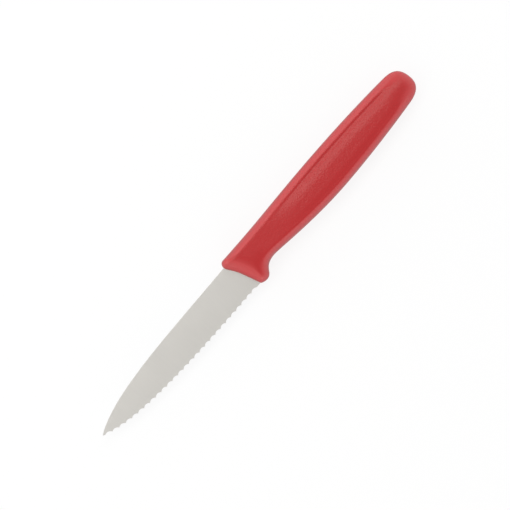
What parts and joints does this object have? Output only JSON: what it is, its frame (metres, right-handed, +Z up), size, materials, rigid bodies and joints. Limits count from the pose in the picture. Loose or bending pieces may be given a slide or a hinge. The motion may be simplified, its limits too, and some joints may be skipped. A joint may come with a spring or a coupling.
{
  "type": "paring knife",
  "caption": "Small paring knife with a pointed, wavy-edged steel blade and a moulded red plastic handle with a finger guard.",
  "frame": {"origin": "under the middle of the knife's box, on the surface that it lies on", "axes": "+X from the point to the butt, +Y from the edge to the spine, +Z up out of the upper flank"},
  "size_m": [0.1776, 0.0174, 0.012],
  "materials": {
    "steel": "fine satin grind",
    "red_plastic": "semi-matte, finely textured flanks and smoother rims"
  },
  "bodies": {
    "root": {"blade": "steel", "handle": "red_plastic"}
  },
  "joints": []
}
